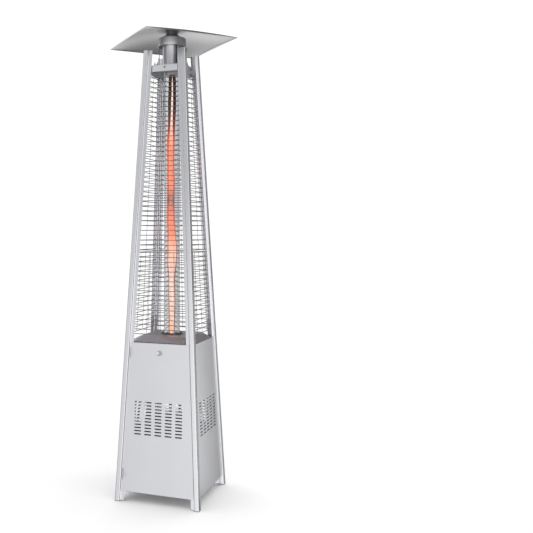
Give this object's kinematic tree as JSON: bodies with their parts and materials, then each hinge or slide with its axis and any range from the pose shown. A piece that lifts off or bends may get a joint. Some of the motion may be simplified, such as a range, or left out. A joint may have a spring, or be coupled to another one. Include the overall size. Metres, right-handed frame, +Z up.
{
  "type": "outdoor gas patio heater",
  "caption": "Pyramid patio heater: leaning post frame, vented cabinet with a hinged door, gas burner, glass flame tube in wire guards, square reflector hood.",
  "frame": {"origin": "on the floor, at the middle of the four feet", "axes": "+Z up; the door faces -Y; +X is to the right of someone who faces the door"},
  "size_m": [0.669, 0.669, 2.2718],
  "materials": {
    "brushed_frame": "bright brushed stainless tube",
    "panel_steel": "bright satin stainless sheet",
    "formed_steel": "satin formed sheet",
    "guard_wire": "plated wire",
    "polished_steel": "polished",
    "heat_tinted_steel": "heat darkened sheet",
    "reflector_sheet": "satin, with a polished lip",
    "brass": "machined",
    "copper_pipe": "drawn pipe",
    "black_plastic": "moulded",
    "red_plastic": "moulded",
    "foot_plastic": "moulded",
    "quartz_glass": "clear",
    "fibre_gasket": "pressed fibre",
    "gas_flame": "burning gas"
  },
  "bodies": {
    "frame": {"burner_chamber": "heat_tinted_steel", "burner_gas_pipe": "copper_pipe", "burner_head": "formed_steel", "burner_tray": "heat_tinted_steel", "collar_bracket": "heat_tinted_steel", "collar_ring": "formed_steel", "control_plate": "formed_steel", "cylinder_shelf": "formed_steel", "exhaust_sleeve": "formed_steel", "foot_cap_front_left": "foot_plastic", "foot_cap_front_right": "foot_plastic", "foot_cap_rear_left": "foot_plastic", "foot_cap_rear_right": "foot_plastic", "gas_injector": "brass", "gas_valve_body": "brass", "glass_tube": "quartz_glass", "igniter_body": "black_plastic", "left_panel": "panel_steel", "lower_guard_front": "guard_wire", "lower_guard_left": "guard_wire", "lower_guard_rear": "guard_wire", "lower_guard_right": "guard_wire", "lower_hinge_frame_leaf": "formed_steel", "lower_post_front_left": "brushed_frame", "lower_post_front_right": "brushed_frame", "lower_post_rear_left": "brushed_frame", "lower_post_rear_right": "brushed_frame", "magnetic_catch": "black_plastic", "mixing_tube": "formed_steel", "pilot_gas_pipe": "copper_pipe", "rear_panel": "panel_steel", "reflector": "reflector_sheet", "reflector_nut": "polished_steel", "reflector_spacer": "heat_tinted_steel", "right_panel": "panel_steel", "thermocouple": "brass", "tilt_switch": "black_plastic", "top_bracket": "formed_steel", "tube_seat_ring": "fibre_gasket", "upper_guard_front": "guard_wire", "upper_guard_left": "guard_wire", "upper_guard_rear": "guard_wire", "upper_guard_right": "guard_wire", "upper_hinge_frame_leaf": "formed_steel", "upper_post_front_left": "brushed_frame", "upper_post_front_right": "brushed_frame", "upper_post_rear_left": "brushed_frame", "upper_post_rear_right": "brushed_frame", "valve_inlet": "brass"},
    "door": {"front_door": "panel_steel", "door_knob": "polished_steel", "strike_plate": "polished_steel", "lower_hinge_door_leaf": "formed_steel", "upper_hinge_door_leaf": "formed_steel"},
    "valve_cone": {"valve_cone": "formed_steel"},
    "control_knob": {"control_knob": "black_plastic", "valve_stem": "formed_steel"},
    "igniter_button": {"igniter_button": "red_plastic"}
  },
  "joints": [
    {"name": "door_hinge", "type": "hinge", "parent": "frame", "child": "door", "pos_m": [-0.16432, -0.19032, 0.405], "axis": [-0.0497, -0.0497, -0.9975], "range_deg": [0, 115]},
    {"name": "valve_turn", "type": "hinge", "parent": "frame", "child": "valve_cone", "pos_m": [0.012, -0.136, 0.665], "axis": [0, -1, 0], "range_deg": [0, 210]},
    {"name": "knob_push", "type": "slide", "parent": "valve_cone", "child": "control_knob", "axis": [0, 1, 0], "range_m": [0, 0.004], "stiffness_N_per_m": 700},
    {"name": "igniter_press", "type": "slide", "parent": "frame", "child": "igniter_button", "axis": [0, 1, 0], "range_m": [0, 0.005], "stiffness_N_per_m": 600}
  ]
}
